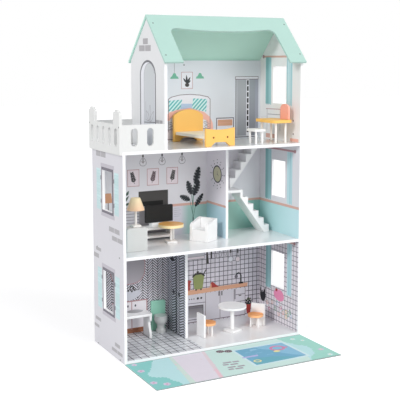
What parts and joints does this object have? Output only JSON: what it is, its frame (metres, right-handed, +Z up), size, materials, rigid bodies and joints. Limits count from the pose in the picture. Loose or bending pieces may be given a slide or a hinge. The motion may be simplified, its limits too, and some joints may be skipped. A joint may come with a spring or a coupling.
{
  "type": "dollhouse",
  "caption": "Wooden dollhouse with stacked open-front rooms, a balcony, a pitched roof, a turned staircase, loose furniture and a printed garden mat.",
  "frame": {"origin": "on the ground, under the centre of the whole part's bounding box", "axes": "+Z up, +X to the right seen from the open front, +Y to the back of the house"},
  "size_m": [0.613, 0.472, 0.998],
  "materials": {
    "floor_board": "gloss-printed pale grey fibreboard with white painted edges",
    "printed_wall": "satin printed fibreboard with white painted edges",
    "printed_back": "satin printed thin fibreboard",
    "mint_board": "satin mint painted fibreboard",
    "white_board": "satin white painted fibreboard",
    "white_furniture": "satin white painted wood",
    "yellow_board": "satin yellow painted wood",
    "orange_board": "satin orange painted wood",
    "cream_board": "satin cream painted wood",
    "coral_board": "satin coral painted wood",
    "green_board": "satin green painted wood",
    "black_board": "semi-gloss black painted wood",
    "silver_turned": "semi-gloss pale silver painted turned wood",
    "printed_mat": "matt printed sheet"
  },
  "bodies": {
    "house": {"base_board": "floor_board", "middle_floor": "floor_board", "top_floor": "floor_board", "left_side_wall": "printed_wall", "right_side_wall": "printed_wall", "left_gable_wall": "printed_wall", "right_gable_wall": "printed_wall", "lower_back_panel": "printed_back", "middle_back_panel": "printed_back", "upper_back_panel": "printed_back", "bath_partition": "printed_wall", "living_partition": "printed_wall", "front_roof_panel": "mint_board", "back_roof_panel": "mint_board", "balcony_side_rail": "white_board", "balcony_front_rail": "white_board", "balcony_back_rail": "white_board", "stair_landing": "white_board", "stair_lower_flight": "white_board", "stair_upper_flight": "white_board"},
    "mat": {"garden_mat": "printed_mat"},
    "bed": {"bed_headboard": "yellow_board", "bed_footboard": "yellow_board", "bed_base": "cream_board"},
    "desk": {"desk_top": "yellow_board", "desk_mirror": "coral_board", "desk_leg_1": "white_furniture", "desk_leg_2": "white_furniture", "desk_leg_3": "white_furniture", "desk_leg_4": "white_furniture"},
    "bedroom_stool": {"stool": "white_furniture"},
    "side_cabinet": {"cabinet": "white_furniture"},
    "lamp": {"lamp_stand": "white_furniture", "lamp_shade": "cream_board"},
    "tv_stand": {"tv_stand_top": "white_furniture", "tv_stand_shelf": "white_furniture", "tv_stand_left_side": "white_furniture", "tv_stand_right_side": "white_furniture"},
    "tv": {"tv_foot": "white_furniture", "tv_screen": "black_board"},
    "coffee_table": {"coffee_table_top": "orange_board", "coffee_table_post": "white_furniture", "coffee_table_base": "white_furniture"},
    "armchair": {"armchair_left_arm": "white_furniture", "armchair_right_arm": "white_furniture", "armchair_back": "white_furniture", "armchair_seat": "white_furniture"},
    "washstand": {"washstand_top": "white_furniture", "washstand_left_side": "white_furniture", "washstand_right_side": "white_furniture"},
    "toilet": {"toilet_bowl": "silver_turned", "toilet_board": "green_board"},
    "kitchen_table": {"kitchen_table_top": "white_furniture", "kitchen_table_post": "white_furniture", "kitchen_table_base": "white_furniture"},
    "left_chair": {"left_chair_seat": "orange_board", "left_chair_back": "white_furniture"},
    "right_chair": {"right_chair_seat": "orange_board", "right_chair_back": "white_furniture"}
  },
  "joints": [
    {"name": "mat_lift", "type": "slide", "parent": "house", "child": "mat", "axis": [0, 0, 1], "range_m": [0, 0.05]},
    {"name": "bed_lift", "type": "slide", "parent": "house", "child": "bed", "axis": [0, 0, 1], "range_m": [0, 0.06]},
    {"name": "desk_lift", "type": "slide", "parent": "house", "child": "desk", "axis": [0, 0, 1], "range_m": [0, 0.06]},
    {"name": "bedroom_stool_lift", "type": "slide", "parent": "house", "child": "bedroom_stool", "axis": [0, 0, 1], "range_m": [0, 0.06]},
    {"name": "side_cabinet_lift", "type": "slide", "parent": "house", "child": "side_cabinet", "axis": [0, 0, 1], "range_m": [0, 0.06]},
    {"name": "tv_stand_lift", "type": "slide", "parent": "house", "child": "tv_stand", "axis": [0, 0, 1], "range_m": [0, 0.06]},
    {"name": "coffee_table_lift", "type": "slide", "parent": "house", "child": "coffee_table", "axis": [0, 0, 1], "range_m": [0, 0.06]},
    {"name": "armchair_lift", "type": "slide", "parent": "house", "child": "armchair", "axis": [0, 0, 1], "range_m": [0, 0.06]},
    {"name": "washstand_lift", "type": "slide", "parent": "house", "child": "washstand", "axis": [0, 0, 1], "range_m": [0, 0.06]},
    {"name": "toilet_lift", "type": "slide", "parent": "house", "child": "toilet", "axis": [0, 0, 1], "range_m": [0, 0.06]},
    {"name": "kitchen_table_lift", "type": "slide", "parent": "house", "child": "kitchen_table", "axis": [0, 0, 1], "range_m": [0, 0.06]},
    {"name": "left_chair_lift", "type": "slide", "parent": "house", "child": "left_chair", "axis": [0, 0, 1], "range_m": [0, 0.06]},
    {"name": "right_chair_lift", "type": "slide", "parent": "house", "child": "right_chair", "axis": [0, 0, 1], "range_m": [0, 0.06]},
    {"name": "lamp_lift", "type": "slide", "parent": "side_cabinet", "child": "lamp", "axis": [0, 0, 1], "range_m": [0, 0.05]},
    {"name": "tv_lift", "type": "slide", "parent": "tv_stand", "child": "tv", "axis": [0, 0, 1], "range_m": [0, 0.05]}
  ]
}
